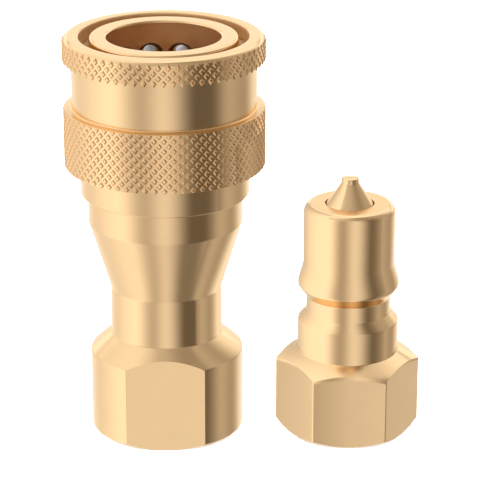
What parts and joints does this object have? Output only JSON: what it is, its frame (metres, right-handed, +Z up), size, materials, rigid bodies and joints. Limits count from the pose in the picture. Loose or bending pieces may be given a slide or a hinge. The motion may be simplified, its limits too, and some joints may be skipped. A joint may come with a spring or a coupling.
{
  "type": "quick coupling",
  "caption": "Brass quick coupling for fluid lines: a knurled-sleeve socket with locking balls, and its hexagon plug standing beside it, each with a poppet valve and a threaded port.",
  "frame": {"origin": "centre of the socket's port face, on the socket's axis, where it stands", "axes": "+Z up along both axes towards the mouth and the nose, +X from the socket to the plug"},
  "size_m": [0.0536, 0.03, 0.0622],
  "materials": {
    "brass_turned": "satin turned",
    "brass_knurled": "knurled satin",
    "ball_steel": "polished",
    "spring_steel": "drawn",
    "seal_rubber": "matt",
    "backup_plastic": "smooth"
  },
  "bodies": {
    "root": {"socket_body": "brass_turned", "socket_adapter": "brass_turned", "sleeve_retaining_ring": "spring_steel", "socket_nose_seal": "seal_rubber", "socket_backup_ring": "backup_plastic", "body_joint_seal": "seal_rubber", "socket_valve_guide": "brass_turned", "sleeve_spring": "spring_steel", "socket_valve_spring": "spring_steel", "plug_body": "brass_turned", "plug_guide_ring": "spring_steel", "plug_valve_guide": "brass_turned", "plug_valve_spring": "spring_steel"},
    "sleeve_carriage": {"sleeve_spring_washer": "spring_steel"},
    "sleeve": {"sleeve": "brass_knurled"},
    "socket_valve": {"socket_poppet": "brass_turned", "socket_poppet_seal": "seal_rubber"},
    "plug_valve": {"plug_poppet": "brass_turned", "plug_poppet_seal": "seal_rubber"},
    "locking_ball_01": {"locking_ball_01": "ball_steel"},
    "locking_ball_02": {"locking_ball_02": "ball_steel"},
    "locking_ball_03": {"locking_ball_03": "ball_steel"},
    "locking_ball_04": {"locking_ball_04": "ball_steel"},
    "locking_ball_05": {"locking_ball_05": "ball_steel"},
    "locking_ball_06": {"locking_ball_06": "ball_steel"},
    "locking_ball_07": {"locking_ball_07": "ball_steel"},
    "locking_ball_08": {"locking_ball_08": "ball_steel"},
    "locking_ball_09": {"locking_ball_09": "ball_steel"},
    "locking_ball_10": {"locking_ball_10": "ball_steel"},
    "locking_ball_11": {"locking_ball_11": "ball_steel"}
  },
  "joints": [
    {"name": "sleeve_pull", "type": "slide", "parent": "root", "child": "sleeve_carriage", "axis": [0, 0, -1], "range_m": [0, 0.004], "stiffness_N_per_m": 1500, "springref_m": -0.004, "deforming": ["sleeve_spring"]},
    {"name": "sleeve_turn", "type": "hinge", "parent": "sleeve_carriage", "child": "sleeve", "pos_m": [0, 0, 0.05], "axis": [0, 0, 1], "continuous": true},
    {"name": "socket_valve_push", "type": "slide", "parent": "root", "child": "socket_valve", "axis": [0, 0, -1], "range_m": [0, 0.0041], "stiffness_N_per_m": 300, "springref_m": -0.006, "deforming": ["socket_valve_spring"]},
    {"name": "plug_valve_push", "type": "slide", "parent": "root", "child": "plug_valve", "axis": [0, 0, -1], "range_m": [0, 0.0041], "stiffness_N_per_m": 300, "springref_m": -0.006, "deforming": ["plug_valve_spring"]},
    {"name": "locking_ball_01_travel", "type": "slide", "parent": "root", "child": "locking_ball_01", "axis": [-0.2817, 0.9595, 0], "range_m": [0, 0.0008]},
    {"name": "locking_ball_02_travel", "type": "slide", "parent": "root", "child": "locking_ball_02", "axis": [-0.7557, 0.6549, 0], "range_m": [0, 0.0008]},
    {"name": "locking_ball_03_travel", "type": "slide", "parent": "root", "child": "locking_ball_03", "axis": [-0.9898, 0.1423, 0], "range_m": [0, 0.0008]},
    {"name": "locking_ball_04_travel", "type": "slide", "parent": "root", "child": "locking_ball_04", "axis": [-0.9096, -0.4154, 0], "range_m": [0, 0.0008]},
    {"name": "locking_ball_05_travel", "type": "slide", "parent": "root", "child": "locking_ball_05", "axis": [-0.5406, -0.8413, 0], "range_m": [0, 0.0008]},
    {"name": "locking_ball_06_travel", "type": "slide", "parent": "root", "child": "locking_ball_06", "axis": [0, -1, 0], "range_m": [0, 0.0008]},
    {"name": "locking_ball_07_travel", "type": "slide", "parent": "root", "child": "locking_ball_07", "axis": [0.5406, -0.8413, 0], "range_m": [0, 0.0008]},
    {"name": "locking_ball_08_travel", "type": "slide", "parent": "root", "child": "locking_ball_08", "axis": [0.9096, -0.4154, 0], "range_m": [0, 0.0008]},
    {"name": "locking_ball_09_travel", "type": "slide", "parent": "root", "child": "locking_ball_09", "axis": [0.9898, 0.1423, 0], "range_m": [0, 0.0008]},
    {"name": "locking_ball_10_travel", "type": "slide", "parent": "root", "child": "locking_ball_10", "axis": [0.7557, 0.6549, 0], "range_m": [0, 0.0008]},
    {"name": "locking_ball_11_travel", "type": "slide", "parent": "root", "child": "locking_ball_11", "axis": [0.2817, 0.9595, 0], "range_m": [0, 0.0008]}
  ],
  "couplings": [
    {"joint": "locking_ball_01_travel", "follows": "sleeve_pull", "ratio": 0.2},
    {"joint": "locking_ball_02_travel", "follows": "sleeve_pull", "ratio": 0.2},
    {"joint": "locking_ball_03_travel", "follows": "sleeve_pull", "ratio": 0.2},
    {"joint": "locking_ball_04_travel", "follows": "sleeve_pull", "ratio": 0.2},
    {"joint": "locking_ball_05_travel", "follows": "sleeve_pull", "ratio": 0.2},
    {"joint": "locking_ball_06_travel", "follows": "sleeve_pull", "ratio": 0.2},
    {"joint": "locking_ball_07_travel", "follows": "sleeve_pull", "ratio": 0.2},
    {"joint": "locking_ball_08_travel", "follows": "sleeve_pull", "ratio": 0.2},
    {"joint": "locking_ball_09_travel", "follows": "sleeve_pull", "ratio": 0.2},
    {"joint": "locking_ball_10_travel", "follows": "sleeve_pull", "ratio": 0.2},
    {"joint": "locking_ball_11_travel", "follows": "sleeve_pull", "ratio": 0.2}
  ]
}
